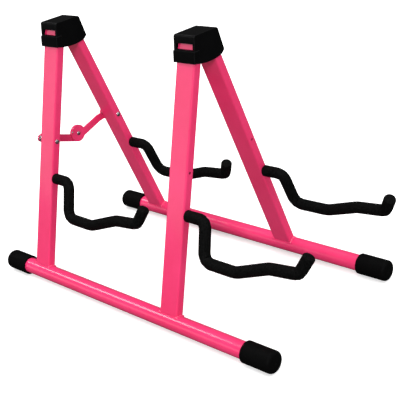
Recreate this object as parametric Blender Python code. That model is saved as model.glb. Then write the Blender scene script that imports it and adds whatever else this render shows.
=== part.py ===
"""Folding two-place guitar stand: two A-frames on two floor runners, four foam cradle arms."""

import math

import bmesh
import bpy
import numpy as np
from mathutils import Vector

MM = 0.001
GAP = 0.3 * MM

# Overall layout
RUNNER_SPACING = 270 * MM
FRAME_SPACING = 300.5 * MM
REAR_OVERHANG = 89.5 * MM
STAND_LENGTH = 585 * MM
LEG_TOP_HEIGHT = 400.4 * MM
LEG_TOP_OFFSET = 10.3 * MM
PIVOT_DROP = 19.4 * MM

# Floor runners and their end caps
RUNNER_R = 12.7 * MM
RUNNER_WALL = 1.5 * MM
CAP_WALL = 3.2 * MM
CAP_LENGTH = 50 * MM
CAP_END = 5 * MM
CAP_ROUND = 5 * MM
CAP_MOUTH = 1 * MM

# Leg tube
LEG_THICK = 14 * MM
LEG_DEPTH = 35 * MM
LEG_WALL = 1.5 * MM
LEG_CORNER = 2.6 * MM
PIN_HOLE_UP = 220.5 * MM
ARM_HOLE_UP = 160 * MM

# Cradle arm: bend corners given as forward of the leg face, up the leg, bend radius
ROD_R = 4 * MM
FOAM_R = 8.9 * MM
FOAM_SKIN_END = 6 * MM
FOAM_EDGE = 3.5 * MM
ARM_SPLAY = 0.02
STUB_IN = 12 * MM
ARM_DROP_AT = 35.5 * MM
ARM_DROP_LEAN = 3.5 * MM
ARM_LOW = 102.5 * MM
ARM_HUMP_FROM = 98 * MM
ARM_HUMP_TO = 155 * MM
ARM_HUMP_RISE = 20 * MM
ARM_LIP_AT = 203 * MM
ARM_LIP_RISE = 5 * MM
ARM_TIP_FORWARD = 14 * MM
ARM_TIP_UP = 27 * MM
BEND_TOP_R = 12 * MM
BEND_LOW_R = 15 * MM
BEND_SOFT_R = 45 * MM
BEND_LIP_R = 12 * MM

# Hinge head: edge margins stand out from the legs' outer faces
HEAD_RISE = 7.6 * MM
HEAD_HEIGHT = 36.6 * MM
HEAD_SAG = 5 * MM
HEAD_TOP_LEFT = 7.3 * MM
HEAD_TOP_RIGHT = 9.3 * MM
HEAD_LOW_LEFT = 1.3 * MM
HEAD_LOW_RIGHT = 5.3 * MM
HEAD_BEVEL = 2 * MM
HEAD_HEEL = 3 * MM
HEAD_CHEEK = 2 * MM
HEAD_ROOF = 4 * MM
COLLAR_HEIGHT = 15.4 * MM
COLLAR_PROUD = 1.3 * MM
COLLAR_SIDE = 0.7 * MM
COLLAR_WRAP = 9 * MM
COLLAR_BELOW = 0.6 * MM
WINDOW_SILL = 1.5 * MM
WINDOW_HEIGHT = 8.5 * MM
WINDOW_WIDTH = 32 * MM
PIN_R = 4 * MM
PIN_FIT = 0.1 * MM
PIN_SEAT = 1 * MM
KNUCKLE_PLATE = 3 * MM
KNUCKLE_BELOW = 13 * MM
KNUCKLE_ABOVE = 11 * MM
KNUCKLE_CLEAR = 0.8 * MM
CHEEK_CLEAR = 0.8 * MM
PAD_CLEAR = 2 * MM
PAD_INSET = 0.5 * MM

# Brace links behind the rear legs
LINK_T = 2.5 * MM
LINK_HALF_W = 6.2 * MM
DISC_R = 14.4 * MM
DISC_STEP = 0.3 * MM
LINK_STANDOFF = 2.9 * MM
KNEE_X = 5 * MM
KNEE_DROP = 17.4 * MM
RIVET_R = 2 * MM
RIVET_FIT = 0.1 * MM
RIVET_HEAD_R = 3.8 * MM
RIVET_DOME = 1.8 * MM
RIVET_BACK = 1 * MM
KNEE_HEAD_R = 3.6 * MM
SPACER_R = 6 * MM
EYE_R = 7.2 * MM
SLOT_TRAVEL = 14 * MM
SLOT_TILT = math.radians(9.9)
SLOT_PLAY = 1.4 * MM
SLOT_RIM = 3 * MM
LINK_CRANK_IN = 13.9 * MM
LINK_CRANK_DROP = 7.5 * MM
LINK_END_DROP = 5.5 * MM
LINK_LIFT = 3.5 * MM
LINK_OFFSET = 2.5 * MM
CRANK_SLIM = 0.2 * MM

ROUND_SEGMENTS = 32
SMALL_SEGMENTS = 16
FOAM_SEGMENTS = 12
BEND_STEPS = 4
OVERCUT = 5 * MM

REAR_Y = STAND_LENGTH / 2 - REAR_OVERHANG
FRONT_Y = REAR_Y - FRAME_SPACING
CAP_R = RUNNER_R + GAP + CAP_WALL
RUNNER_Z = CAP_R
PIVOT_HEIGHT = LEG_TOP_HEIGHT - PIVOT_DROP
HEAD_TOP = LEG_TOP_HEIGHT + HEAD_RISE
HEAD_BOTTOM = HEAD_TOP - HEAD_HEIGHT
COLLAR_TOP = HEAD_BOTTOM + COLLAR_HEIGHT
WINDOW_LOW = COLLAR_TOP + WINDOW_SILL
WINDOW_TOP = WINDOW_LOW + WINDOW_HEIGHT
HALF_DEPTH = LEG_DEPTH / 2


def clear_scene():
    for obj in list(bpy.data.objects):
        bpy.data.objects.remove(obj, do_unlink=True)


def material(name, colour, rough, metal=0.0):
    made = bpy.data.materials.new(name)
    made.use_nodes = True
    shader = made.node_tree.nodes["Principled BSDF"]
    shader.inputs["Base Color"].default_value = (*colour, 1)
    shader.inputs["Roughness"].default_value = rough
    shader.inputs["Metallic"].default_value = metal
    return made


def add_object(name, verts, faces, mat, pivot=(0, 0, 0)):
    """A mesh object with its origin on the pivot and its faces turned outward."""
    mesh = bpy.data.meshes.new(name)
    origin = Vector(pivot)
    mesh.from_pydata([Vector(v) - origin for v in verts], [], faces)
    made = bmesh.new()
    made.from_mesh(mesh)
    bmesh.ops.recalc_face_normals(made, faces=made.faces)
    made.to_mesh(mesh)
    made.free()
    obj = bpy.data.objects.new(name, mesh)
    obj.location = origin
    bpy.context.scene.collection.objects.link(obj)
    if mat:
        mesh.materials.append(mat)
    return obj


def loft(rings, loop=False):
    """Vertices and faces through rings of points; a ring of one point closes an end."""
    verts = []
    starts = []
    for ring in rings:
        starts.append(len(verts))
        verts.extend(tuple(p) for p in ring)
    faces = []
    pairs = list(range(len(rings) - 1))
    if loop:
        pairs.append(len(rings) - 1)
    for i in pairs:
        j = (i + 1) % len(rings)
        a, b = len(rings[i]), len(rings[j])
        n = max(a, b)
        for k in range(n):
            m = (k + 1) % n
            if a == 1:
                faces.append((starts[i], starts[j] + k, starts[j] + m))
            elif b == 1:
                faces.append((starts[i] + m, starts[i] + k, starts[j]))
            else:
                faces.append((starts[i] + m, starts[i] + k, starts[j] + k, starts[j] + m))
    return verts, faces


def circle_y(x, y, z, radius, segments):
    """A ring of points round an axis along Y, with a flat facing down."""
    turns = [2 * math.pi * (k + 0.5) / segments for k in range(segments)]
    return [(x + radius * math.cos(t), y, z + radius * math.sin(t)) for t in turns]


def turned(name, x, z, profile, mat, segments=ROUND_SEGMENTS, pivot=None):
    """A solid turned about an axis along Y. The profile holds (y, radius) pairs."""
    rings = []
    for y, radius in profile:
        rings.append([(x, y, z)] if radius == 0 else circle_y(x, y, z, radius, segments))
    open_profile = profile[0][1] == 0
    verts, faces = loft(rings, loop=not open_profile)
    return add_object(name, verts, faces, mat, pivot or (x, profile[0][0], z))


def prism(name, outline, y0, y1, mat=None, pivot=(0, 0, 0)):
    """A solid with an XZ outline pushed along Y."""
    n = len(outline)
    verts = [(x, y0, z) for x, z in outline] + [(x, y1, z) for x, z in outline]
    faces = [tuple(range(n)), tuple(range(2 * n - 1, n - 1, -1))]
    faces += [(k, k + n, (k + 1) % n + n, (k + 1) % n) for k in range(n)]
    return add_object(name, verts, faces, mat, pivot)


def box(name, low, high):
    outline = [(low[0], low[2]), (high[0], low[2]), (high[0], high[2]), (low[0], high[2])]
    return prism(name, outline, low[1], high[1])


def apply_boolean(target, tool, operation):
    """Joins or cuts with the EXACT solver, keeps the result as plain mesh and drops the tool."""
    tool.hide_render = True
    tool.display_type = "WIRE"
    step = target.modifiers.new(operation.lower(), "BOOLEAN")
    step.operation = operation
    step.solver = "EXACT"
    step.object = tool
    graph = bpy.context.evaluated_depsgraph_get()
    result = bpy.data.meshes.new_from_object(target.evaluated_get(graph))
    target.modifiers.clear()
    target.data = result
    bpy.data.objects.remove(tool, do_unlink=True)


def cut(target, tool):
    apply_boolean(target, tool, "DIFFERENCE")


def join(target, tool):
    apply_boolean(target, tool, "UNION")


def pin_tool(name, x, z, radius, y0, y1, segments=SMALL_SEGMENTS):
    return turned(name, x, z, [(y0, 0), (y0, radius), (y1, radius), (y1, 0)], None, segments)


# ---------------------------------------------------------------- leg line


def leg_line():
    """Foot point, unit direction up the leg and unit normal away from the stand (right side)."""
    foot = np.array([RUNNER_SPACING / 2, RUNNER_Z])
    top = np.array([LEG_TOP_OFFSET, LEG_TOP_HEIGHT])
    along = (top - foot) / np.linalg.norm(top - foot)
    outward = np.array([along[1], -along[0]])
    return foot, along, outward


FOOT, ALONG, OUTWARD = leg_line()
LEG_LENGTH = (LEG_TOP_HEIGHT - RUNNER_Z) / ALONG[1]


def on_leg(side, up, out=0.0):
    """(x, z) of a point up the leg and out from its centre line; side is 1 right, -1 left."""
    x, z = FOOT + ALONG * up + OUTWARD * out
    return side * x, z


def leg_face_x(side, out, z):
    """x of a line along the leg, out from its centre line, at a height."""
    up = (z - FOOT[1] - OUTWARD[1] * out) / ALONG[1]
    return on_leg(side, up, out)[0]


# ---------------------------------------------------------------- runners and caps


def runner_span():
    half = STAND_LENGTH / 2 - CAP_END - GAP
    return -half, half


def make_runner(name, side, mat):
    y0, y1 = runner_span()
    inner = RUNNER_R - RUNNER_WALL
    profile = [(y0, RUNNER_R), (y1, RUNNER_R), (y1, inner), (y0, inner)]
    return turned(name, side * RUNNER_SPACING / 2, RUNNER_Z, profile, mat)


def make_cap(name, side, end, mat):
    """A rubber cup over the runner end; end is 1 at the rear, -1 at the front."""
    tip = STAND_LENGTH / 2
    mouth = tip - CAP_LENGTH
    bore = RUNNER_R + GAP
    floor = tip - CAP_END
    profile = [(floor, 0), (floor, bore), (mouth, bore), (mouth, CAP_R - CAP_MOUTH)]
    profile.append((mouth + CAP_MOUTH, CAP_R))
    for step in range(5):
        turn = math.pi / 2 * step / 4
        reach = CAP_ROUND * (1 - math.sin(turn))
        inset = CAP_ROUND * (1 - math.cos(turn))
        profile.append((tip - reach, CAP_R - inset))
    profile.append((tip, 0))
    profile = [(end * y, radius) for y, radius in profile]
    return turned(name, side * RUNNER_SPACING / 2, RUNNER_Z, profile, mat)


# ---------------------------------------------------------------- legs


def rounded_rectangle(width, depth, corner, steps=3):
    points = []
    for quarter in range(4):
        sx = 1 if quarter in (0, 3) else -1
        sy = 1 if quarter in (0, 1) else -1
        for step in range(steps + 1):
            turn = math.pi / 2 * (quarter + step / steps)
            x = sx * (width / 2 - corner) + corner * math.cos(turn)
            y = sy * (depth / 2 - corner) + corner * math.sin(turn)
            points.append((x, y))
    return points


def make_leg(name, side, frame_y, mat):
    outer = rounded_rectangle(LEG_THICK, LEG_DEPTH, LEG_CORNER)
    thin = LEG_WALL * 2
    inner = rounded_rectangle(LEG_THICK - thin, LEG_DEPTH - thin, LEG_CORNER - LEG_WALL)

    def ring(points, up):
        return [(*on_leg(side, up, out)[:1], frame_y + y, on_leg(side, up, out)[1]) for out, y in points]

    foot = RUNNER_R / 2
    rings = [ring(outer, foot), ring(outer, LEG_LENGTH), ring(inner, LEG_LENGTH), ring(inner, foot)]
    verts, faces = loft(rings, loop=True)
    x, z = on_leg(side, 0)
    leg = add_object(name, verts, faces, mat, (x, frame_y, z))
    reach = HALF_DEPTH + OVERCUT
    cope = pin_tool("cope", x, z, RUNNER_R + GAP, frame_y - reach, frame_y + reach, ROUND_SEGMENTS)
    cut(leg, cope)
    hx, hz = on_leg(side, PIN_HOLE_UP)
    cut(leg, pin_tool("pin hole", hx, hz, RIVET_R + RIVET_FIT, frame_y - reach, frame_y + reach))
    ax, az = on_leg(side, ARM_HOLE_UP)
    cut(leg, pin_tool("arm hole", ax, az, ROD_R + GAP, frame_y - reach, frame_y))
    return leg


# ---------------------------------------------------------------- cradle arms


def arm_corners():
    """Corners of the bent rod as (forward, up the leg, bend radius)."""
    hump_up = ARM_LOW + ARM_HUMP_RISE
    lip_up = hump_up + ARM_LIP_RISE
    return [
        (-STUB_IN, ARM_HOLE_UP, 0),
        (ARM_DROP_AT, ARM_HOLE_UP, BEND_TOP_R),
        (ARM_DROP_AT + ARM_DROP_LEAN, ARM_LOW, BEND_LOW_R),
        (ARM_HUMP_FROM, ARM_LOW, BEND_SOFT_R),
        (ARM_HUMP_TO, hump_up, BEND_SOFT_R),
        (ARM_LIP_AT, lip_up, BEND_LIP_R),
        (ARM_LIP_AT + ARM_TIP_FORWARD, lip_up + ARM_TIP_UP, 0),
    ]


def bent_path(corners, steps):
    """Points along a line whose corners are bent to their radii."""
    points = [np.array(corners[0][:2])]
    for k in range(1, len(corners) - 1):
        here = np.array(corners[k][:2])
        back = np.array(corners[k - 1][:2]) - here
        ahead = np.array(corners[k + 1][:2]) - here
        back /= np.linalg.norm(back)
        ahead /= np.linalg.norm(ahead)
        half = math.acos(max(-1.0, min(1.0, float(back @ ahead)))) / 2
        radius = corners[k][2]
        setback = radius / math.tan(half)
        middle = (back + ahead) / np.linalg.norm(back + ahead)
        centre = here + middle * radius / math.sin(half)
        start = here + back * setback - centre
        stop = here + ahead * setback - centre
        sweep = math.pi - 2 * half
        count = max(2, round(steps * sweep / (math.pi / 2)))
        for n in range(count + 1):
            t = n / count
            a = math.sin((1 - t) * sweep) / math.sin(sweep)
            b = math.sin(t * sweep) / math.sin(sweep)
            points.append(centre + start * a + stop * b)
    points.append(np.array(corners[-1][:2]))
    return points


def arm_path(side, frame_y):
    """The bent rod's centre line in the stand, from inside the leg to the tip."""
    path = []
    for forward, up in bent_path(arm_corners(), BEND_STEPS):
        out = ARM_SPLAY * max(0.0, forward - ARM_DROP_AT / 2)
        x, z = on_leg(side, up, out)
        path.append(np.array([x, frame_y - HALF_DEPTH - forward, z]))
    return path


def trimmed(path, start, end):
    """The path cut to the stretch between two lengths measured along it."""
    lengths = [0.0]
    for a, b in zip(path, path[1:]):
        lengths.append(lengths[-1] + float(np.linalg.norm(b - a)))
    total = lengths[-1]
    stop = total - end

    def at(length):
        for k in range(1, len(path)):
            if lengths[k] >= length or k == len(path) - 1:
                t = (length - lengths[k - 1]) / (lengths[k] - lengths[k - 1])
                return path[k - 1] + (path[k] - path[k - 1]) * t

    middle = [p for p, s in zip(path, lengths) if start + MM < s < stop - MM]
    return [at(start)] + middle + [at(stop)]


def rings_along(path, radius, segments):
    """Round sections square to the path, each carried on from the last without twist."""
    rings = []
    side = None
    for k, point in enumerate(path):
        ahead = path[min(k + 1, len(path) - 1)] - path[max(k - 1, 0)]
        if k == 0:
            ahead = path[1] - path[0]
        ahead = ahead / np.linalg.norm(ahead)
        if side is None:
            side = np.cross(ahead, [0.0, 0.0, 1.0])
        side = side - ahead * (side @ ahead)
        side = side / np.linalg.norm(side)
        other = np.cross(ahead, side)
        turns = [2 * math.pi * n / segments for n in range(segments)]
        rings.append([point + radius * (side * math.cos(t) + other * math.sin(t)) for t in turns])
    return rings


def make_rod(name, side, frame_y, mat):
    path = trimmed(arm_path(side, frame_y), 0, FOAM_SKIN_END + GAP)
    rings = rings_along(path, ROD_R, 10)
    verts, faces = loft([[path[0]]] + rings + [[path[-1]]])
    x, z = on_leg(side, ARM_HOLE_UP)
    return add_object(name, verts, faces, mat, (x, frame_y - HALF_DEPTH, z))


def make_foam(name, side, frame_y, mat):
    """A closed-end foam sleeve with a blind bore for the rod."""
    path = arm_path(side, frame_y)
    mouth = STUB_IN + GAP
    bore_path = trimmed(path, mouth, FOAM_SKIN_END)
    bore = rings_along(bore_path, ROD_R + GAP, FOAM_SEGMENTS)
    skin_path = trimmed(path, mouth, FOAM_EDGE)
    skin = rings_along(skin_path, FOAM_R, FOAM_SEGMENTS)
    tip_way = (path[-1] - path[-2]) / np.linalg.norm(path[-1] - path[-2])
    centre = skin_path[-1]
    edge = []
    for step in range(1, 4):
        turn = math.pi / 2 * step / 3
        scale = 1 - FOAM_EDGE / FOAM_R * (1 - math.cos(turn))
        shift = tip_way * FOAM_EDGE * math.sin(turn)
        edge.append([centre + (p - centre) * scale + shift for p in skin[-1]])
    tip = [[centre + tip_way * FOAM_EDGE]]
    verts, faces = loft([[bore_path[-1]]] + bore[::-1] + skin + edge + tip)
    return add_object(name, verts, faces, mat, tuple(skin_path[0]))


# ---------------------------------------------------------------- hinge heads


def head_edge(z, side):
    """x of the head's sloping side at a height, standing out from the leg by the margins."""
    low = HEAD_LOW_RIGHT if side > 0 else HEAD_LOW_LEFT
    top = HEAD_TOP_RIGHT if side > 0 else HEAD_TOP_LEFT
    share = (z - HEAD_BOTTOM) / HEAD_HEIGHT
    return leg_face_x(side, LEG_THICK / 2, z) + side * (low + (top - low) * share)


def head_outline():
    """Flat top, sloping sides and a shallow arc along the bottom."""
    shoulder = HEAD_TOP - HEAD_BEVEL
    points = [(head_edge(HEAD_TOP, 1) - HEAD_BEVEL, HEAD_TOP)]
    points.append((head_edge(HEAD_TOP, -1) + HEAD_BEVEL, HEAD_TOP))
    points.append((head_edge(shoulder, -1), shoulder))
    left = head_edge(HEAD_BOTTOM, -1)
    right = head_edge(HEAD_BOTTOM, 1)
    points.append((left, HEAD_BOTTOM))
    for step in range(1, 10):
        share = step / 10
        dip = HEAD_SAG * 4 * share * (1 - share)
        points.append((left + (right - left) * share, HEAD_BOTTOM - dip))
    points.append((right, HEAD_BOTTOM + HEAD_HEEL))
    points.append((head_edge(shoulder, 1), shoulder))
    return points


def make_housing(name, frame_y, mat):
    """The plastic head, fixed on the left leg: roof, two cheeks and a windowed outer wall."""
    cheek_in = HALF_DEPTH + GAP
    half = cheek_in + HEAD_CHEEK
    head = prism(name, head_outline(), frame_y - half, frame_y + half, mat, (0, frame_y, PIVOT_HEIGHT))
    base = HEAD_BOTTOM - COLLAR_BELOW
    collar = [
        (head_edge(HEAD_BOTTOM, -1) - COLLAR_PROUD, base),
        (head_edge(HEAD_BOTTOM, -1) + COLLAR_WRAP, base),
        (head_edge(COLLAR_TOP, -1) + COLLAR_WRAP, COLLAR_TOP),
        (head_edge(COLLAR_TOP, -1) - COLLAR_PROUD, COLLAR_TOP),
    ]
    lip = half + COLLAR_SIDE
    join(head, prism("collar", collar, frame_y - lip, frame_y + lip))
    wall_face = LEG_THICK / 2 + GAP
    open_side = head_edge(HEAD_BOTTOM, 1) + OVERCUT
    ceiling = HEAD_TOP - HEAD_ROOF
    below = HEAD_BOTTOM - HEAD_SAG - OVERCUT
    cavity = [
        (leg_face_x(-1, wall_face, below), below),
        (leg_face_x(-1, wall_face, ceiling), ceiling),
        (open_side, ceiling),
        (open_side, below),
    ]
    cut(head, prism("cavity", cavity, frame_y - cheek_in, frame_y + cheek_in))
    half_window = WINDOW_WIDTH / 2
    low = (head_edge(HEAD_BOTTOM, -1) - OVERCUT, frame_y - half_window, WINDOW_LOW)
    high = (-LEG_TOP_OFFSET, frame_y + half_window, WINDOW_TOP)
    cut(head, box("window", low, high))
    pocket = cheek_in + PIN_SEAT
    cut(head, pin_tool("pocket", 0, PIVOT_HEIGHT, PIN_R + PIN_FIT, frame_y - pocket, frame_y + pocket))
    return head


def leg_distance():
    """How far the hinge pin lies from the centre line of a leg."""
    return float(OUTWARD @ (FOOT - np.array([0.0, PIVOT_HEIGHT])))


def pivot_up():
    """How far up the leg the hinge pin stands."""
    return float(ALONG @ (np.array([0.0, PIVOT_HEIGHT]) - FOOT))


def knuckle_half_depth():
    return HALF_DEPTH + GAP - CHEEK_CLEAR


def make_knuckle(name, frame_y, mat):
    """The hinge eye between the legs, fixed to the right leg's inner face."""
    half = knuckle_half_depth()
    face = -LEG_THICK / 2 - GAP
    up = pivot_up()
    eye_r = leg_distance() - LEG_THICK / 2 - KNUCKLE_CLEAR
    plate = [
        on_leg(1, up - KNUCKLE_BELOW, face),
        on_leg(1, up + KNUCKLE_ABOVE, face),
        on_leg(1, up + KNUCKLE_ABOVE, face - KNUCKLE_PLATE),
        on_leg(1, up - KNUCKLE_BELOW, face - KNUCKLE_PLATE),
    ]
    knuckle = prism(name, plate, frame_y - half, frame_y + half, mat, (0, frame_y, PIVOT_HEIGHT))
    root = face - KNUCKLE_PLATE / 2
    web = [
        on_leg(1, up - eye_r, root),
        on_leg(1, up + eye_r, root),
        on_leg(1, up + eye_r, -leg_distance()),
        on_leg(1, up - eye_r, -leg_distance()),
    ]
    join(knuckle, prism("web", web, frame_y - half, frame_y + half))
    join(knuckle, pin_tool("eye", 0, PIVOT_HEIGHT, eye_r, frame_y - half, frame_y + half, 24))
    reach = half + OVERCUT
    cut(knuckle, pin_tool("bore", 0, PIVOT_HEIGHT, PIN_R + PIN_FIT, frame_y - reach, frame_y + reach))
    return knuckle


def make_end_pad(name, frame_y, mat):
    """The outer block on the right leg that closes the open side of the head."""
    half = knuckle_half_depth()
    face = LEG_THICK / 2 + GAP
    low = HEAD_BOTTOM + HEAD_HEEL
    top = HEAD_TOP - HEAD_ROOF - PAD_CLEAR
    outline = [
        (leg_face_x(1, face, low), low),
        (head_edge(low, 1) - PAD_INSET, low),
        (head_edge(top, 1) - PAD_INSET, top),
        (leg_face_x(1, face, top), top),
    ]
    return prism(name, outline, frame_y - half, frame_y + half, mat, (0, frame_y, PIVOT_HEIGHT))


def make_hinge_pin(name, frame_y, mat):
    half = HALF_DEPTH + PIN_SEAT
    profile = [(frame_y - half, 0), (frame_y - half, PIN_R), (frame_y + half, PIN_R), (frame_y + half, 0)]
    return turned(name, 0, PIVOT_HEIGHT, profile, mat, SMALL_SEGMENTS)


# ---------------------------------------------------------------- brace


def brace_layers():
    """Y of the leg's back face and the two links' front and back faces."""
    back = REAR_Y + HALF_DEPTH
    right_front = back + LINK_STANDOFF
    left_front = right_front + LINK_T + GAP
    return back, right_front, right_front + LINK_T, left_front, left_front + LINK_T


def capsule(a, b, radius, steps=8):
    """The outline round two points at a radius."""
    a = np.array(a)
    b = np.array(b)
    heading = math.atan2(*(b - a)[::-1])
    points = []
    for centre, first in ((b, heading - math.pi / 2), (a, heading + math.pi / 2)):
        for step in range(steps + 1):
            turn = first + math.pi * step / steps
            points.append((centre[0] + radius * math.cos(turn), centre[1] + radius * math.sin(turn)))
    return points


def brace_pivots():
    left = on_leg(-1, PIN_HOLE_UP)
    right = on_leg(1, PIN_HOLE_UP)
    return left, right, (KNEE_X, right[1] - KNEE_DROP)


def make_right_link(name, mat):
    """Cranked link from the right leg's rivet to the front disc of the knee."""
    _, right, knee = brace_pivots()
    _, y0, y1, _, _ = brace_layers()
    drop = DISC_R - LINK_HALF_W
    disc = [(x, z) for x, _, z in circle_y(knee[0], 0, knee[1], DISC_R, ROUND_SEGMENTS)]
    link = prism(name, disc, y0, y1, mat, (right[0], y0, right[1]))
    crank = (right[0] - LINK_CRANK_IN, right[1] - LINK_CRANK_DROP)
    under = (knee[0] + LINK_OFFSET, knee[1] - drop + LINK_LIFT)
    end = (right[0], right[1] - LINK_END_DROP)
    join(link, prism("bar", capsule(under, crank, LINK_HALF_W), y0, y1))
    join(link, prism("crank", capsule(crank, end, LINK_HALF_W - CRANK_SLIM), y0, y1))
    join(link, prism("eye", capsule(end, right, EYE_R), y0, y1))
    for x, z in (right, knee):
        cut(link, pin_tool("hole", x, z, RIVET_R + RIVET_FIT, y0 - MM, y1 + MM))
    return link


def make_left_link(name, mat):
    """Link from the knee to the left leg, with a slotted end on the left rivet."""
    left, _, knee = brace_pivots()
    _, _, _, y0, y1 = brace_layers()
    drop = DISC_R - LINK_HALF_W
    disc = [(x, z) for x, _, z in circle_y(knee[0], 0, knee[1], DISC_R - DISC_STEP, ROUND_SEGMENTS)]
    link = prism(name, disc, y0, y1, mat, (knee[0], y0, knee[1]))
    under = (knee[0] - LINK_OFFSET, knee[1] - drop)
    join(link, prism("bar", capsule(left, under, LINK_HALF_W), y0, y1))
    slot_r = RIVET_R + SLOT_PLAY + RIVET_FIT
    reach = SLOT_TRAVEL
    far_end = (left[0] + reach * math.cos(SLOT_TILT), left[1] + reach * math.sin(SLOT_TILT))
    join(link, prism("eye", capsule(left, far_end, slot_r + SLOT_RIM), y0, y1))
    cut(link, prism("slot", capsule(left, far_end, slot_r), y0 - MM, y1 + MM))
    cut(link, pin_tool("hole", knee[0], knee[1], RIVET_R + RIVET_FIT, y0 - MM, y1 + MM))
    return link


def make_rivet(name, x, z, y0, y1, head_r, mat, back_r=None):
    """A round rivet between two faces, domed in front and flat-headed behind."""
    back_r = back_r or head_r
    front = y0 - GAP
    back = y1 + GAP
    profile = [(front - RIVET_DOME, 0)]
    for step in range(1, 5):
        turn = math.pi / 2 * step / 4
        profile.append((front - RIVET_DOME * math.cos(turn), head_r * math.sin(turn)))
    profile += [(front, RIVET_R), (back, RIVET_R), (back, back_r)]
    profile += [(back + RIVET_BACK, back_r), (back + RIVET_BACK, 0)]
    return turned(name, x, z, profile, mat, SMALL_SEGMENTS)


def make_spacer(name, x, z, y0, y1, mat):
    bore = RIVET_R + RIVET_FIT
    profile = [(y0 + GAP, SPACER_R), (y1 - GAP, SPACER_R), (y1 - GAP, bore), (y0 + GAP, bore)]
    return turned(name, x, z, profile, mat, 24)


def make_brace(coat, zinc):
    left, right, knee = brace_pivots()
    back, right_front, right_back, left_front, left_back = brace_layers()
    leg_front = REAR_Y - HALF_DEPTH
    make_right_link("brace_link_right", coat)
    make_left_link("brace_link_left", coat)
    cover = RIVET_R + SLOT_PLAY + RIVET_FIT + SLOT_RIM
    make_rivet("brace_rivet_left", *left, leg_front, left_back, RIVET_HEAD_R, zinc, cover)
    make_rivet("brace_rivet_right", *right, leg_front, right_back, RIVET_HEAD_R, zinc)
    make_rivet("brace_rivet_knee", *knee, right_front, left_back, KNEE_HEAD_R, zinc)
    make_spacer("brace_spacer_left", *left, back, left_front, zinc)
    make_spacer("brace_spacer_right", *right, back, right_front, zinc)


# ---------------------------------------------------------------- build


def centre_on_floor():
    """Moves the whole stand so that its box stands centred on the origin."""
    bpy.context.view_layer.update()
    points = [obj.matrix_world @ v.co for obj in bpy.data.objects for v in obj.data.vertices]
    low = np.min(points, axis=0)
    high = np.max(points, axis=0)
    shift = Vector((-(low[0] + high[0]) / 2, -(low[1] + high[1]) / 2, -low[2]))
    for obj in bpy.data.objects:
        obj.location += shift


def build():
    clear_scene()
    coat = material("pink powder coat", (0.9, 0.05, 0.15), 0.25)
    plastic = material("black moulded plastic", (0.01, 0.01, 0.011), 0.35)
    foam = material("black foam", (0.012, 0.012, 0.012), 0.9)
    rubber = material("black rubber", (0.012, 0.012, 0.013), 0.6)
    steel = material("bright steel", (0.55, 0.55, 0.57), 0.25, 1.0)
    zinc = material("zinc plated rivet", (0.5, 0.5, 0.5), 0.3, 1.0)
    sides = (("left", -1), ("right", 1))
    frames = (("front", FRONT_Y), ("rear", REAR_Y))
    for side_name, side in sides:
        make_runner(f"runner_{side_name}", side, coat)
        make_cap(f"cap_{side_name}_front", side, -1, rubber)
        make_cap(f"cap_{side_name}_rear", side, 1, rubber)
        for frame_name, frame_y in frames:
            make_leg(f"leg_{frame_name}_{side_name}", side, frame_y, coat)
            make_rod(f"arm_rod_{frame_name}_{side_name}", side, frame_y, steel)
            make_foam(f"arm_foam_{frame_name}_{side_name}", side, frame_y, foam)
    for frame_name, frame_y in frames:
        make_housing(f"hinge_housing_{frame_name}", frame_y, plastic)
        make_knuckle(f"hinge_knuckle_{frame_name}", frame_y, plastic)
        make_end_pad(f"hinge_end_pad_{frame_name}", frame_y, plastic)
        make_hinge_pin(f"hinge_pin_{frame_name}", frame_y, steel)
    make_brace(coat, zinc)
    centre_on_floor()


build()
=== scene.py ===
"""Looks of the folding two-place guitar stand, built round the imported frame."""

import math

import bmesh
import bpy
import numpy as np
from mathutils import Matrix, Vector


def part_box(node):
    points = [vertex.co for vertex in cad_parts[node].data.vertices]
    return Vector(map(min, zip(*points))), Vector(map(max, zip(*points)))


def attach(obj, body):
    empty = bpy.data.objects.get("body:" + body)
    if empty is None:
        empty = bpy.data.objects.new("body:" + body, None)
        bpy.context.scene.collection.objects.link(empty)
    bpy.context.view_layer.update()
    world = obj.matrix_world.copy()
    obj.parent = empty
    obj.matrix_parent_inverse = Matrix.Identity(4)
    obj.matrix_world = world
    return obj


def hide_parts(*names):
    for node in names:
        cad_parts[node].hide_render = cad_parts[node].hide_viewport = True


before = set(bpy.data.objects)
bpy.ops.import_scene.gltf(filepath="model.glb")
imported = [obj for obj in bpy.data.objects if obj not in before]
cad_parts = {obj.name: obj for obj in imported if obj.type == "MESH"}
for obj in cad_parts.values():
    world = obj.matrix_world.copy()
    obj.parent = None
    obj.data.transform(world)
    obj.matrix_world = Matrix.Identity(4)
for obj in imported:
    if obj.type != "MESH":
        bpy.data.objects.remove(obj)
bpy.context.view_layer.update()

MM = 0.001
SIDES = (("left", -1), ("right", 1))
ENDS = ("front", "rear")

# Leg line, measured from the runner's axis
LEG_RISE = 384.2 * MM
LEG_LEAN = 124.7 * MM
LEG_HALF_THICK = 7 * MM

# Cradle arm: forward of the leg face, up the leg, bend radius
ARM_HOLE_UP = 160 * MM
ARM_DROP_AT = 35.5 * MM
ARM_DROP_LEAN = 3.5 * MM
ARM_LOW = 102.5 * MM
ARM_HUMP_FROM = 98 * MM
ARM_HUMP_TO = 155 * MM
ARM_HUMP_RISE = 20 * MM
ARM_LIP_AT = 203 * MM
ARM_LIP_RISE = 5 * MM
ARM_TIP_FORWARD = 14 * MM
ARM_TIP_UP = 27 * MM
BEND_TOP_R = 12 * MM
BEND_LOW_R = 15 * MM
BEND_SOFT_R = 45 * MM
BEND_LIP_R = 12 * MM
ARM_SPLAY = 0.02
FOAM_R = 8.7 * MM
FOAM_EDGE = 3.2 * MM
FOAM_MOUTH_EDGE = 0.8 * MM
FOAM_STEP = 0.8 * MM
FOAM_SIDES = 56
FOAM_LUMPS = 0.2 * MM
CREASE_DEPTH = 2.6 * MM
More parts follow.
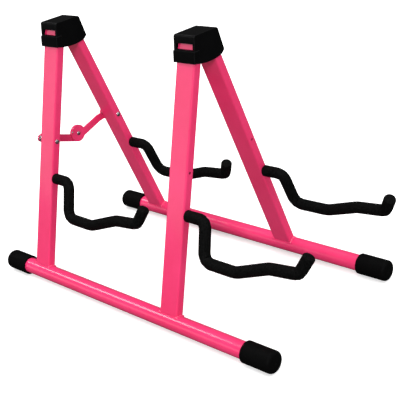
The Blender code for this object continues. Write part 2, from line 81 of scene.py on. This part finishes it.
CREASE_WIDTH = 1.5 * MM
CREASE_SWELL = 0.28

# Floor runners and their caps
TUBE_R = 12.7 * MM
TUBE_WALL = 1.5 * MM
CAP_SLIP = 0.03 * MM
CAP_ROUND = 5 * MM
CAP_MOUTH = 1 * MM
CAP_FLOOR = 5 * MM
CAP_BORE = 13 * MM

# Welds, rivets, the brace nib and the mark left on each cap by its mould
WELD_R = 1.7 * MM
WELD_RIPPLE = 2.1 * MM
WELD_RIPPLE_SHARE = 0.1
WELD_WRAP = 3.2 * MM
WELD_FADE = 2.4 * MM
WELD_END_SHARE = 0.25
WELD_INSET = 0.2 * MM
WELD_LIFT = 0.1 * MM
WELD_PROUD = 0.3 * MM
WELD_LUMPS = 0.5 * MM
WELD_STEPS = 64
WELD_SIDES = 16
RIVET_R = 2 * MM
RIVET_DOME = 1.8 * MM
RIVET_BACK = 1 * MM
RIVET_RIM = 0.3 * MM
NIB_R = 1.5 * MM
NIB_HEIGHT = 0.9 * MM
NIB_ROOT = 0.3 * MM
NIB_ACROSS = 11.6 * MM
NIB_ABOVE = 5.3 * MM
CAP_MARK_R = 2.4 * MM
CAP_MARK_FLOOR_R = 2.0 * MM
CAP_MARK_DEPTH = 0.5 * MM


# ---------------------------------------------------------------- shader groups and materials


def shader_group(name, inputs, outputs):
    """An empty shader group with named sockets; returns it with its input and output nodes."""
    tree = bpy.data.node_groups.new(name, "ShaderNodeTree")
    for label, kind, value in inputs:
        socket = tree.interface.new_socket(label, in_out="INPUT", socket_type=kind)
        if value is not None:
            socket.default_value = value
    for label, kind in outputs:
        tree.interface.new_socket(label, in_out="OUTPUT", socket_type=kind)
    return tree, tree.nodes.new("NodeGroupInput"), tree.nodes.new("NodeGroupOutput")


def maths(tree, operation, a, b=None):
    """A maths node on sockets or plain numbers."""
    node = tree.nodes.new("ShaderNodeMath")
    node.operation = operation
    for socket, value in zip(node.inputs, (a, b)):
        if value is None:
            continue
        if isinstance(value, (int, float)):
            socket.default_value = value
        else:
            tree.links.new(value, socket)
    return node.outputs[0]


def noise(tree, place, scale, detail=2.0, roughness=0.5):
    node = tree.nodes.new("ShaderNodeTexNoise")
    tree.links.new(place, node.inputs["Vector"])
    if isinstance(scale, (int, float)):
        node.inputs["Scale"].default_value = scale
    else:
        tree.links.new(scale, node.inputs["Scale"])
    node.inputs["Detail"].default_value = detail
    node.inputs["Roughness"].default_value = roughness
    return node.outputs[0]


def make_surface_grain():
    """Two sizes of fine relief added together, and a slow patchy mask for colour and gloss."""
    floats = [("Fine", "NodeSocketFloat", 900.0), ("Coarse", "NodeSocketFloat", 220.0)]
    floats += [("Coarse Share", "NodeSocketFloat", 0.5), ("Patch", "NodeSocketFloat", 14.0)]
    outputs = [("Relief", "NodeSocketFloat"), ("Patches", "NodeSocketFloat")]
    tree, source, result = shader_group("surface_grain", floats, outputs)
    place = tree.nodes.new("ShaderNodeTexCoord").outputs["Object"]
    fine = noise(tree, place, source.outputs["Fine"], 3.0)
    coarse = noise(tree, place, source.outputs["Coarse"], 2.0)
    scaled = maths(tree, "MULTIPLY", coarse, source.outputs["Coarse Share"])
    tree.links.new(maths(tree, "ADD", fine, scaled), result.inputs["Relief"])
    patches = noise(tree, place, source.outputs["Patch"], 4.0, 0.6)
    tree.links.new(patches, result.inputs["Patches"])
    return tree


def make_edge_highlight():
    """A mask of painted highlight that is 1 on convex edges, broken up by a noise."""
    inputs = [("Radius", "NodeSocketFloat", 0.0008), ("Gain", "NodeSocketFloat", 2.0)]
    outputs = [("Edges", "NodeSocketFloat"), ("Rounded", "NodeSocketVector")]
    tree, source, result = shader_group("edge_highlight", inputs, outputs)
    bevel = tree.nodes.new("ShaderNodeBevel")
    bevel.samples = 4
    tree.links.new(source.outputs["Radius"], bevel.inputs["Radius"])
    geometry = tree.nodes.new("ShaderNodeNewGeometry")
    dot = tree.nodes.new("ShaderNodeVectorMath")
    dot.operation = "DOT_PRODUCT"
    tree.links.new(bevel.outputs[0], dot.inputs[0])
    tree.links.new(geometry.outputs["True Normal"], dot.inputs[1])
    lost = maths(tree, "SUBTRACT", 1.0, dot.outputs["Value"])
    place = tree.nodes.new("ShaderNodeTexCoord").outputs["Object"]
    broken = noise(tree, place, 160.0, 3.0)
    mask = maths(tree, "MULTIPLY", maths(tree, "MULTIPLY", lost, source.outputs["Gain"]), broken)
    node = maths(tree, "MINIMUM", mask, 1.0)
    tree.links.new(node, result.inputs["Edges"])
    tree.links.new(bevel.outputs[0], result.inputs["Rounded"])
    return tree


def placed_group(tree, group, **values):
    node = tree.nodes.new("ShaderNodeGroup")
    node.node_tree = group
    for label, value in values.items():
        node.inputs[label.replace("_", " ")].default_value = value
    return node


def ramp(tree, source, stops):
    node = tree.nodes.new("ShaderNodeValToRGB")
    tree.links.new(source, node.inputs[0])
    node.color_ramp.elements[0].position = stops[0][0]
    node.color_ramp.elements[0].color = (*stops[0][1], 1)
    node.color_ramp.elements[1].position = stops[1][0]
    node.color_ramp.elements[1].color = (*stops[1][1], 1)
    return node.outputs[0]


def mapped(tree, value, low, high):
    """A mask from 0 to 1 stretched to low and high."""
    return maths(tree, "ADD", maths(tree, "MULTIPLY", value, high - low), low)


def mixed(tree, share, a, b):
    node = tree.nodes.new("ShaderNodeMix")
    node.data_type = "RGBA"
    tree.links.new(share, node.inputs[0])
    for socket, value in ((node.inputs[6], a), (node.inputs[7], b)):
        if isinstance(value, tuple):
            socket.default_value = (*value, 1)
        else:
            tree.links.new(value, socket)
    return node.outputs[2]


def finish_material(name, dull, bright, edge, gloss, relief, grain, constants, edge_radius=0.0006):
    """
    A Principled finish: patchy colour between dull and bright, the edge colour painted on convex edges as a
    highlight, roughness from gloss (low, high), and relief (height in metres) from the surface grain.
    """
    made = bpy.data.materials.new(name)
    made.use_nodes = True
    tree = made.node_tree
    shader = tree.nodes["Principled BSDF"]
    for label, value in constants.items():
        shader.inputs[label].default_value = value
    skin = placed_group(tree, SURFACE_GRAIN, **grain)
    # Mask for the painted highlight on convex edges, and the bevel-rounded normals
    edges = placed_group(tree, EDGE_HIGHLIGHT, Radius=edge_radius, Gain=7.0)
    colour = ramp(tree, skin.outputs["Patches"], ((0.35, dull), (0.68, bright)))
    # Painted highlight: the paler edge colour is laid over the base colour on convex edges
    tree.links.new(mixed(tree, edges.outputs["Edges"], colour, edge), shader.inputs["Base Color"])
    tree.links.new(mapped(tree, skin.outputs["Patches"], *gloss), shader.inputs["Roughness"])
    bump = tree.nodes.new("ShaderNodeBump")
    bump.inputs["Strength"].default_value = 1.0
    bump.inputs["Distance"].default_value = relief
    tree.links.new(skin.outputs["Relief"], bump.inputs["Height"])
    tree.links.new(edges.outputs["Rounded"], bump.inputs["Normal"])
    tree.links.new(bump.outputs[0], shader.inputs["Normal"])
    return made


SURFACE_GRAIN = make_surface_grain()
EDGE_HIGHLIGHT = make_edge_highlight()


def make_materials():
    """The stand's finishes, by the record's slot names, with a few more for small detail."""
    peel = {"Fine": 520.0, "Coarse": 190.0, "Coarse_Share": 1.2, "Patch": 9.0}
    pores = {"Fine": 1300.0, "Coarse": 420.0, "Coarse_Share": 1.0, "Patch": 420.0}
    spark = {"Fine": 2200.0, "Coarse": 800.0, "Coarse_Share": 0.6, "Patch": 22.0}
    drawn = {"Fine": 1800.0, "Coarse": 300.0, "Coarse_Share": 0.5, "Patch": 60.0}
    found = {}
    # The third colour of each finish is a painted highlight for its convex edges
    found["powder_coat"] = finish_material(
        "hot pink powder coat", (0.83, 0.03, 0.138), (0.9, 0.04, 0.172), (0.95, 0.13, 0.27),
        (0.24, 0.36), 0.00006, peel,
        {"Coat Weight": 0.7, "Coat Roughness": 0.1, "Specular IOR Level": 0.35})
    found["head_plastic"] = finish_material(
        "black moulded plastic", (0.0022, 0.0022, 0.0024), (0.0032, 0.0032, 0.0034), (0.04, 0.04, 0.042),
        (0.34, 0.46), 0.00003, spark, {"Specular IOR Level": 0.025})
    found["foam"] = finish_material(
        "black closed cell foam", (0.0015, 0.0015, 0.0015), (0.006, 0.006, 0.006), (0.01, 0.01, 0.01),
        (0.5, 0.7), 0.0005, pores, {"Specular IOR Level": 0.025})
    found["cap_rubber"] = finish_material(
        "black rubber", (0.0018, 0.0018, 0.0019), (0.003, 0.003, 0.0031), (0.008, 0.008, 0.008),
        (0.5, 0.64), 0.00005, spark, {"Specular IOR Level": 0.025})
    found["arm_steel"] = finish_material(
        "drawn steel", (0.42, 0.42, 0.44), (0.6, 0.6, 0.62), (0.75, 0.75, 0.76),
        (0.22, 0.4), 0.00003, drawn, {"Metallic": 1.0})
    found["rivet_zinc"] = finish_material(
        "bright zinc plate", (0.36, 0.36, 0.37), (0.6, 0.6, 0.61), (0.8, 0.8, 0.8),
        (0.16, 0.34), 0.00003, drawn, {"Metallic": 1.0})
    return found


FINISH = make_materials()


# ---------------------------------------------------------------- mesh helpers


def settle(obj, body, material=None, replaced=()):
    """Gives a finished piece its material and body, and hides the CAD nodes that it stands for."""
    if material:
        obj.data.materials.clear()
        obj.data.materials.append(material)
    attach(obj, body)
    if replaced:
        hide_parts(*replaced)
    return obj


def new_piece(name, verts, faces):
    mesh = bpy.data.meshes.new(name)
    mesh.from_pydata([tuple(v) for v in verts], [], faces)
    obj = bpy.data.objects.new(name, mesh)
    bpy.context.scene.collection.objects.link(obj)
    return obj


def shade(obj, angle=38.0):
    """Outward faces, smooth between edges sharper than the angle."""
    made = bmesh.new()
    made.from_mesh(obj.data)
    bmesh.ops.remove_doubles(made, verts=made.verts, dist=1e-7)
    bmesh.ops.recalc_face_normals(made, faces=made.faces)
    made.to_mesh(obj.data)
    made.free()
    obj.data.shade_smooth()
    obj.data.set_sharp_from_angle(angle=math.radians(angle))
    return obj


def revolve(name, x, z, profile, segments=96, closed=False):
    """A piece turned about an axis along Y; the profile holds (y, radius) pairs."""
    turns = 2 * math.pi * (np.arange(segments) + 0.5) / segments
    verts = []
    rings = []
    for y, radius in profile:
        if radius == 0:
            rings.append([len(verts)])
            verts.append((x, y, z))
            continue
        rings.append(list(range(len(verts), len(verts) + segments)))
        verts += [(x + radius * math.cos(t), y, z + radius * math.sin(t)) for t in turns]
    faces = []
    count = len(rings) if closed else len(rings) - 1
    for i in range(count):
        a, b = rings[i], rings[(i + 1) % len(rings)]
        for k in range(segments):
            m = (k + 1) % segments
            if len(a) == 1:
                faces.append((a[0], b[k], b[m]))
            elif len(b) == 1:
                faces.append((a[m], a[k], b[0]))
            else:
                faces.append((a[m], a[k], b[k], b[m]))
    return shade(new_piece(name, verts, faces))


def refined(node, name, body, slot, round_by=0.0):
    """A merged copy of a CAD node with rounded edges, standing for the node."""
    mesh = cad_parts[node].data.copy()
    mesh.name = name
    made = bmesh.new()
    made.from_mesh(mesh)
    bmesh.ops.remove_doubles(made, verts=made.verts, dist=2e-6)
    bmesh.ops.dissolve_limit(made, angle_limit=math.radians(0.4), verts=made.verts, edges=made.edges)
    if round_by:
        sharp = [e for e in made.edges if e.is_manifold and e.calc_face_angle(0) > math.radians(45)]
        bmesh.ops.bevel(made, geom=sharp, offset=round_by, segments=3, profile=0.5, affect="EDGES",
                        clamp_overlap=True)
    made.to_mesh(mesh)
    made.free()
    obj = bpy.data.objects.new(name, mesh)
    bpy.context.scene.collection.objects.link(obj)
    mesh.shade_smooth()
    mesh.set_sharp_from_angle(angle=math.radians(38))
    weight = obj.modifiers.new("face weight", "WEIGHTED_NORMAL")
    weight.keep_sharp = True
    return settle(obj, body, FINISH[slot], [node])


# ---------------------------------------------------------------- places


def body_of_side(side_name):
    return f"{side_name}_half"


def runner_axis(side_name):
    low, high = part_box(f"runner_{side_name}")
    return (low.x + high.x) / 2, (low.z + high.z) / 2


def leg_frame(side_name, side):
    """Foot point on the runner's axis, unit way up the leg and unit way out of its outer face."""
    x, z = runner_axis(side_name)
    along = Vector((-side * LEG_LEAN, 0, LEG_RISE)).normalized()
    outward = Vector((side * along.z, 0, abs(along.x)))
    return Vector((x, 0, z)), along, outward


def on_leg(side_name, side, up, out=0.0, y=0.0):
    foot, along, outward = leg_frame(side_name, side)
    point = foot + along * up + outward * out
    return Vector((point.x, y, point.z))


# ---------------------------------------------------------------- geometry node trees


def geometry_tree(name, inputs):
    tree = bpy.data.node_groups.new(name, "GeometryNodeTree")
    tree.interface.new_socket("Geometry", in_out="INPUT", socket_type="NodeSocketGeometry")
    for label, kind in inputs:
        tree.interface.new_socket(label, in_out="INPUT", socket_type=kind)
    tree.interface.new_socket("Geometry", in_out="OUTPUT", socket_type="NodeSocketGeometry")
    return tree, tree.nodes.new("NodeGroupInput"), tree.nodes.new("NodeGroupOutput")


def make_swept_tree():
    """
    A round section swept along a line of points. Each point holds share, the section's size, and
    pinch, a vector that presses in the side facing it. Lumps is the height of a slow unevenness.
    """
    floats = [("Radius", "NodeSocketFloat"), ("Sides", "NodeSocketInt"), ("Lumps", "NodeSocketFloat")]
    tree, source, result = geometry_tree("swept_section", floats + [("Finish", "NodeSocketMaterial")])
    add, link = tree.nodes.new, tree.links.new
    line = add("GeometryNodeMeshToCurve")
    link(source.outputs["Geometry"], line.inputs[0])
    share = add("GeometryNodeInputNamedAttribute")
    share.data_type = "FLOAT"
    share.inputs["Name"].default_value = "share"
    sized = add("GeometryNodeSetCurveRadius")
    link(line.outputs[0], sized.inputs["Curve"])
    link(share.outputs[0], sized.inputs["Radius"])
    ring = add("GeometryNodeCurvePrimitiveCircle")
    link(source.outputs["Sides"], ring.inputs["Resolution"])
    link(source.outputs["Radius"], ring.inputs["Radius"])
    sweep = add("GeometryNodeCurveToMesh")
    link(sized.outputs[0], sweep.inputs["Curve"])
    link(ring.outputs["Curve"], sweep.inputs["Profile Curve"])
    sweep.inputs["Fill Caps"].default_value = True
    if "Scale" in sweep.inputs:
        link(share.outputs[0], sweep.inputs["Scale"])
    pinch = add("GeometryNodeInputNamedAttribute")
    pinch.data_type = "FLOAT_VECTOR"
    pinch.inputs["Name"].default_value = "pinch"
    normal = add("GeometryNodeInputNormal")
    facing = add("ShaderNodeVectorMath")
    facing.operation = "DOT_PRODUCT"
    link(normal.outputs[0], facing.inputs[0])
    link(pinch.outputs[0], facing.inputs[1])
    pressed = add("ShaderNodeMath")
    pressed.operation = "MAXIMUM"
    pressed.inputs[1].default_value = 0.0
    link(facing.outputs["Value"], pressed.inputs[0])
    uneven = add("ShaderNodeTexNoise")
    uneven.inputs["Scale"].default_value = 90.0
    centred = add("ShaderNodeMath")
    centred.operation = "SUBTRACT"
    centred.inputs[1].default_value = 0.5
    link(uneven.outputs[0], centred.inputs[0])
    lumps = add("ShaderNodeMath")
    lumps.operation = "MULTIPLY"
    link(centred.outputs[0], lumps.inputs[0])
    link(source.outputs["Lumps"], lumps.inputs[1])
    total = add("ShaderNodeMath")
    total.operation = "SUBTRACT"
    link(lumps.outputs[0], total.inputs[0])
    link(pressed.outputs[0], total.inputs[1])
    push = add("ShaderNodeVectorMath")
    push.operation = "SCALE"
    link(normal.outputs[0], push.inputs[0])
    link(total.outputs[0], push.inputs["Scale"])
    moved = add("GeometryNodeSetPosition")
    link(sweep.outputs[0], moved.inputs["Geometry"])
    link(push.outputs[0], moved.inputs["Offset"])
    real = add("GeometryNodeRealizeInstances")
    link(moved.outputs[0], real.inputs[0])
    painted = add("GeometryNodeSetMaterial")
    link(real.outputs[0], painted.inputs["Geometry"])
    link(source.outputs["Finish"], painted.inputs["Material"])
    link(painted.outputs[0], result.inputs[0])
    return tree


def grown(obj, tree, values):
    """Runs a tree on an object with its inputs by name, and turns the result into a plain mesh."""
    step = obj.modifiers.new("grow", "NODES")
    step.node_group = tree
    for item in tree.interface.items_tree:
        if item.in_out == "INPUT" and item.name in values:
            step[item.identifier] = values[item.name]
    graph = bpy.context.evaluated_depsgraph_get()
    made = bpy.data.meshes.new_from_object(obj.evaluated_get(graph))
    made.name = obj.name
    obj.modifiers.clear()
    obj.data = made
    return obj


def swept(name, path, shares, pinches, radius, sides, lumps, finish, cyclic=False):
    """A swept piece along a path with a size share and a pinch for each point."""
    count = len(path)
    mesh = bpy.data.meshes.new(name + "_line")
    edges = [(k, k + 1) for k in range(count - 1)]
    if cyclic:
        edges.append((count - 1, 0))
    mesh.from_pydata([tuple(p) for p in path], edges, [])
    share = mesh.attributes.new("share", "FLOAT", "POINT")
    share.data.foreach_set("value", np.array(shares, np.float32))
    pinch = mesh.attributes.new("pinch", "FLOAT_VECTOR", "POINT")
    pinch.data.foreach_set("vector", np.array(pinches, np.float32).ravel())
    obj = bpy.data.objects.new(name, mesh)
    bpy.context.scene.collection.objects.link(obj)
    grown(obj, SWEPT, {"Radius": radius, "Sides": sides, "Lumps": lumps, "Finish": finish})
    return shade(obj)


SWEPT = make_swept_tree()


# ---------------------------------------------------------------- foam sleeves


def bent_line(corners, step):
    """Points every step along a line whose corners are bent to their radii, and the mid-bend lengths."""
    points = [np.array(corners[0][:2])]
    bends = []
    for k in range(1, len(corners) - 1):
        here = np.array(corners[k][:2])
        back = np.array(corners[k - 1][:2]) - here
        ahead = np.array(corners[k + 1][:2]) - here
        back /= np.linalg.norm(back)
        ahead /= np.linalg.norm(ahead)
        half = math.acos(float(back @ ahead)) / 2
        radius = corners[k][2]
        middle = (back + ahead) / np.linalg.norm(back + ahead)
        centre = here + middle * radius / math.sin(half)
        start = here + back * radius / math.tan(half) - centre
        stop = here + ahead * radius / math.tan(half) - centre
        sweep = math.pi - 2 * half
        count = max(4, round(sweep * radius / step))
        for n in range(count + 1):
            a = math.sin((1 - n / count) * sweep) / math.sin(sweep)
            b = math.sin(n / count * sweep) / math.sin(sweep)
            points.append(centre + start * a + stop * b)
        bends.append((len(points) - 1 - count // 2, middle, radius))
    points.append(np.array(corners[-1][:2]))
    lengths = [0.0]
    for a, b in zip(points, points[1:]):
        lengths.append(lengths[-1] + float(np.linalg.norm(b - a)))
    marks = [(lengths[k], middle, radius) for k, middle, radius in bends]
    total = lengths[-1]
    count = round(total / step)
    stations = np.linspace(0.0, total, count + 1)
    grid = np.array(points)
    line = np.stack([np.interp(stations, lengths, grid[:, 0]), np.interp(stations, lengths, grid[:, 1])], 1)
    return line, stations, marks


def arm_corners():
    hump_up = ARM_LOW + ARM_HUMP_RISE
    lip_up = hump_up + ARM_LIP_RISE
    return [
        (0.0003, ARM_HOLE_UP, 0),
        (ARM_DROP_AT, ARM_HOLE_UP, BEND_TOP_R),
        (ARM_DROP_AT + ARM_DROP_LEAN, ARM_LOW, BEND_LOW_R),
        (ARM_HUMP_FROM, ARM_LOW, BEND_SOFT_R),
        (ARM_HUMP_TO, hump_up, BEND_SOFT_R),
        (ARM_LIP_AT, lip_up, BEND_LIP_R),
        (ARM_LIP_AT + ARM_TIP_FORWARD, lip_up + ARM_TIP_UP, 0),
    ]


def end_share(distance, edge):
    """Size of the section near a cut end whose rim is rounded by edge."""
    if distance >= edge:
        return 1.0
    inner = 1 - distance / edge
    return 1 - edge / FOAM_R * (1 - math.sqrt(max(0.0, 1 - inner * inner)))


def crease_at(distance, radius):
    """How far the foam's inner side is pressed in near the middle of a bend; tight bends fold."""
    depth = CREASE_DEPTH * min(1.0, (BEND_LOW_R / radius) ** 2)
    fold = math.exp(-((distance / CREASE_WIDTH) ** 2))
    swell = math.exp(-((distance / (4 * CREASE_WIDTH)) ** 2))
    return depth * (fold - CREASE_SWELL * swell)


def make_sleeve(end, side_name, side):
    leg_low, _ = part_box(f"leg_{end}_{side_name}")
    line, stations, marks = bent_line(arm_corners(), FOAM_STEP)
    _, along, _ = leg_frame(side_name, side)
    path = []
    shares = []
    pinches = []
    for (forward, up), length in zip(line, stations):
        out = ARM_SPLAY * max(0.0, forward - ARM_DROP_AT / 2)
        path.append(on_leg(side_name, side, up, out, leg_low.y - forward))
        rest = stations[-1] - length
        shares.append(min(end_share(rest, FOAM_EDGE), end_share(length, FOAM_MOUTH_EDGE)))
        pinch = Vector((0, 0, 0))
        for mark, middle, radius in marks:
            way = Vector((0, -middle[0], 0)) + along * middle[1]
            pinch += way * crease_at(length - mark, radius)
        pinches.append(pinch)
    finish = FINISH["foam"]
    name = f"foam_sleeve_{end}_{side_name}"
    obj = swept(name, path, shares, pinches, FOAM_R, FOAM_SIDES, FOAM_LUMPS, finish)
    settle(obj, body_of_side(side_name), None, [f"arm_foam_{end}_{side_name}"])


# ---------------------------------------------------------------- runners, caps and welds


def make_runner(side_name):
    low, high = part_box(f"runner_{side_name}")
    x, z = runner_axis(side_name)
    inner = TUBE_R - TUBE_WALL
    profile = [(low.y, TUBE_R), (high.y, TUBE_R), (high.y, inner), (low.y, inner)]
    obj = revolve(f"floor_tube_{side_name}", x, z, profile, 128, closed=True)
    settle(obj, body_of_side(side_name), FINISH["powder_coat"], [f"runner_{side_name}"])


def make_cap(side_name, end):
    """A rubber cup with a rounded end, a bevelled mouth and a small moulding mark."""
    low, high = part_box(f"cap_{side_name}_{end}")
    x, z = runner_axis(side_name)
    cap_r = (high.z - low.z) / 2 - CAP_SLIP
    way = -1 if end == "front" else 1
    tip, mouth = (low.y, high.y) if way < 0 else (high.y, low.y)
    profile = [(tip - way * CAP_FLOOR, 0), (tip - way * CAP_FLOOR, CAP_BORE), (mouth, CAP_BORE)]
    for step in range(5):
        turn = math.pi / 2 * step / 4
        rise = CAP_MOUTH * (1 - math.cos(turn))
        profile.append((mouth + way * rise, cap_r - CAP_MOUTH * (1 - math.sin(turn))))
    for step in range(13):
        turn = math.pi / 2 * step / 12
        reach = CAP_ROUND * (1 - math.sin(turn))
        profile.append((tip - way * reach, cap_r - CAP_ROUND * (1 - math.cos(turn))))
    floor = tip - way * CAP_MARK_DEPTH
    profile += [(tip, CAP_MARK_R), (floor, CAP_MARK_FLOOR_R), (floor, 0)]
    obj = revolve(f"rubber_cap_{side_name}_{end}", x, z, profile, 96)
    settle(obj, body_of_side(side_name), FINISH["cap_rubber"], [f"cap_{side_name}_{end}"])


def make_weld(end, side_name, side, face):
    """A rippled bead over the saddle joint on one narrow face of a leg; face is -1 front, 1 back."""
    low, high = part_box(f"leg_{end}_{side_name}")
    edge = high.y if face > 0 else low.y
    path = []
    shares = []
    reach = LEG_HALF_THICK + WELD_WRAP
    half = LEG_HALF_THICK - WELD_INSET
    for k in range(WELD_STEPS + 1):
        run = -reach + 2 * reach * k / WELD_STEPS
        out = max(-half, min(half, run))
        back = max(0.0, abs(run) - LEG_HALF_THICK)
        up = math.sqrt((TUBE_R + WELD_LIFT) ** 2 - out * out)
        path.append(on_leg(side_name, side, up, out, edge + face * (WELD_PROUD - back)))
        fade = min(1.0, (reach - abs(run)) / WELD_FADE + WELD_END_SHARE)
        ripple = 1 + WELD_RIPPLE_SHARE * math.cos(2 * math.pi * run / WELD_RIPPLE)
        shares.append(fade * ripple)
    pinches = [Vector((0, 0, 0))] * len(path)
    label = "front" if face < 0 else "back"
    name = f"weld_{end}_{side_name}_{label}"
    finish = FINISH["powder_coat"]
    obj = swept(name, path, shares, pinches, WELD_R, WELD_SIDES, WELD_LUMPS, finish)
    settle(obj, body_of_side(side_name))


# ---------------------------------------------------------------- rivets and nib


def make_rivet(node, name, body):
    """A round rivet: domed head in front, plain shank and a flat head with a softened rim behind."""
    low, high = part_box(node)
    x, z = (low.x + high.x) / 2, (low.z + high.z) / 2
    back_r = (high.x - low.x) / 2
    points = np.array([v.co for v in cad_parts[node].data.vertices])
    front = points[points[:, 1] < low.y + RIVET_DOME + 0.05 * MM]
    head_r = float(np.hypot(front[:, 0] - x, front[:, 2] - z).max())
    profile = [(low.y, 0)]
    for step in range(1, 13):
        turn = math.pi / 2 * step / 12
        profile.append((low.y + RIVET_DOME * (1 - math.cos(turn)), head_r * math.sin(turn)))
    inner = high.y - RIVET_BACK
    profile += [(low.y + RIVET_DOME, RIVET_R), (inner, RIVET_R)]
    profile += [(inner, back_r), (high.y - RIVET_RIM, back_r)]
    profile += [(high.y, back_r - RIVET_RIM), (high.y, 0)]
    obj = revolve(name, x, z, profile, 48)
    settle(obj, body, FINISH["rivet_zinc"], [node])


def make_stop_nib():
    """The small pressed nib near the rim of the front disc."""
    low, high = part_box("brace_rivet_knee")
    x = (low.x + high.x) / 2 - NIB_ACROSS
    z = (low.z + high.z) / 2 + NIB_ABOVE
    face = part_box("brace_link_right")[0].y
    profile = [(face - NIB_HEIGHT, 0)]
    for step in range(1, 9):
        turn = math.pi / 2 * step / 8
        profile.append((face - NIB_HEIGHT * math.cos(turn), NIB_R * math.sin(turn)))
    profile += [(face + NIB_ROOT, NIB_R), (face + NIB_ROOT, 0)]
    obj = revolve("brace_stop_nib", x, z, profile, 32)
    settle(obj, "link_right", FINISH["rivet_zinc"])


# ---------------------------------------------------------------- stage


def make_camera():
    data = bpy.data.cameras.new("camera")
    data.lens = 79.3
    data.sensor_width = 36
    data.clip_start = 0.05
    camera = bpy.data.objects.new("camera", data)
    right = Vector((0.6778167, -0.72106438, -0.14363381))
    up = Vector((0.3926554, 0.18985223, 0.89987658))
    back = Vector((-0.62159975, -0.66634997, 0.41181484))
    turned = Matrix((right, up, back)).transposed().to_4x4()
    camera.matrix_world = Matrix.Translation((-0.8303, -0.9214, 0.6930)) @ turned
    bpy.context.scene.collection.objects.link(camera)
    bpy.context.scene.camera = camera


def make_floor():
    """A pale floor that throws back less light than it shows, so that lower faces keep their shade."""
    span = 12.0
    corners = [(-span, -span, 0), (span, -span, 0), (span, span, 0), (-span, span, 0)]
    floor = new_piece("floor", corners, [(0, 1, 2, 3)])
    made = bpy.data.materials.new("pale floor")
    made.use_nodes = True
    tree = made.node_tree
    shader = tree.nodes["Principled BSDF"]
    shader.inputs["Roughness"].default_value = 0.9
    shader.inputs["Specular IOR Level"].default_value = 0.0
    shader.inputs["Emission Color"].default_value = (1, 1, 1, 1)
    path = tree.nodes.new("ShaderNodeLightPath")
    seen = path.outputs["Is Camera Ray"]
    thrown = mixed(tree, path.outputs["Is Glossy Ray"], (0.3, 0.3, 0.3), (0.08, 0.08, 0.08))
    tree.links.new(mixed(tree, seen, thrown, (0.9, 0.9, 0.9)), shader.inputs["Base Color"])
    tree.links.new(mapped(tree, seen, 0.0, 0.42), shader.inputs["Emission Strength"])
    floor.data.materials.append(made)


# Name, way towards the lamp, strength, and spread in degrees
LAMPS = (
    ("top light", (0.0, 0.0, 1.0), 2.4, 60),
    ("key light", (-0.7, -0.55, 0.45), 1.75, 14),
    ("front fill", (0.35, -0.9, 0.25), 0.75, 70),
    ("rim light", (-0.72, 0.69, 0.06), 0.2, 30),
    ("back strip", (-0.22, 0.7, 0.69), 0.35, 14),
)


def make_sun(name, way, strength, spread):
    data = bpy.data.lights.new(name, "SUN")
    data.energy = strength
    data.angle = math.radians(spread)
    lamp = bpy.data.objects.new(name, data)
    lamp.rotation_mode = "QUATERNION"
    lamp.rotation_quaternion = Vector(way).to_track_quat("Z", "Y")
    bpy.context.scene.collection.objects.link(lamp)


def make_world():
    world = bpy.data.worlds.new("studio")
    bpy.context.scene.world = world
    world.use_nodes = True
    tree = world.node_tree
    sky = tree.nodes["Background"]
    path = tree.nodes.new("ShaderNodeLightPath")
    seen = mapped(tree, path.outputs["Is Camera Ray"], 0.35, 1.0)
    dimmed = maths(tree, "MULTIPLY", path.outputs["Is Glossy Ray"], 0.25)
    tree.links.new(maths(tree, "SUBTRACT", seen, dimmed), sky.inputs["Strength"])
    sky.inputs["Color"].default_value = (1, 1, 1, 1)
    bpy.context.scene.view_settings.view_transform = "Standard"


# ---------------------------------------------------------------- build


def build():
    make_camera()
    make_floor()
    make_world()
    for lamp in LAMPS:
        make_sun(*lamp)
    for side_name, side in SIDES:
        body = body_of_side(side_name)
        make_runner(side_name)
        for end in ENDS:
            make_cap(side_name, end)
            refined(f"leg_{end}_{side_name}", f"leg_tube_{end}_{side_name}", body, "powder_coat")
            make_sleeve(end, side_name, side)
            make_weld(end, side_name, side, -1)
            make_weld(end, side_name, side, 1)
            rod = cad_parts[f"arm_rod_{end}_{side_name}"]
            rod.data.materials.clear()
            rod.data.materials.append(FINISH["arm_steel"])
    for end in ENDS:
        refined(f"hinge_housing_{end}", f"head_shell_{end}", "left_half", "head_plastic", 0.5 * MM)
        refined(f"hinge_knuckle_{end}", f"head_knuckle_{end}", "right_half", "head_plastic", 0.3 * MM)
        refined(f"hinge_end_pad_{end}", f"head_pad_{end}", "right_half", "head_plastic", 0.4 * MM)
        refined(f"hinge_pin_{end}", f"head_pin_{end}", "left_half", "arm_steel", 0.2 * MM)
    refined("brace_link_right", "brace_bar_right", "link_right", "powder_coat", 0.35 * MM)
    refined("brace_link_left", "brace_bar_left", "link_left", "powder_coat", 0.35 * MM)
    refined("brace_spacer_left", "brace_tube_left", "left_half", "rivet_zinc", 0.2 * MM)
    refined("brace_spacer_right", "brace_tube_right", "right_half", "rivet_zinc", 0.2 * MM)
    make_rivet("brace_rivet_left", "rivet_left", "left_half")
    make_rivet("brace_rivet_right", "rivet_right", "right_half")
    make_rivet("brace_rivet_knee", "rivet_knee", "link_left")
    make_stop_nib()


build()
